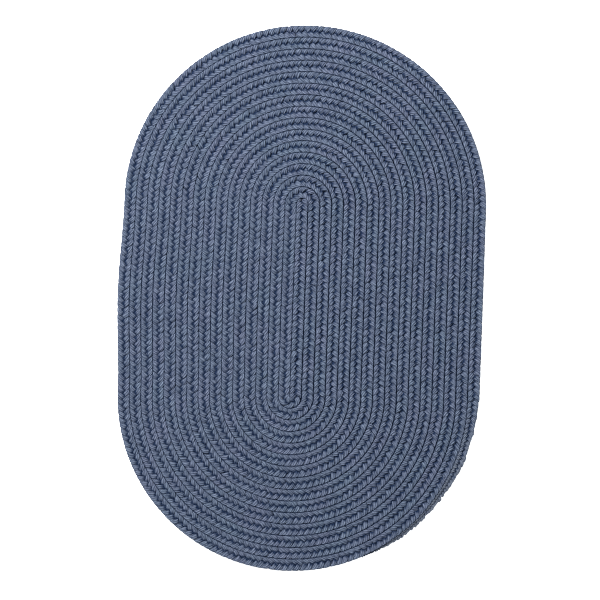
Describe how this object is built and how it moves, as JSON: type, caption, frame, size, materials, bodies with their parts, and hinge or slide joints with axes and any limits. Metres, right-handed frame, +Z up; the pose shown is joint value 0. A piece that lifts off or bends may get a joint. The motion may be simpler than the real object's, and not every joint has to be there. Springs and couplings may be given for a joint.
{
  "type": "oval braided rug",
  "caption": "Flat oval rug of one braid wound in a racetrack spiral, sewn edge to edge, with a tapered tail.",
  "frame": {"origin": "on the floor under the middle of the rug's outline", "axes": "+Y along the rug's length towards the end where the braid starts, +Z up, off the floor"},
  "size_m": [0.612, 0.914, 0.0095],
  "materials": {
    "braided_yarn": "matt steel blue yarn, plaited in three strands, fine plies showing"
  },
  "bodies": {
    "root": {"braided_rug": "braided_yarn"}
  },
  "joints": []
}
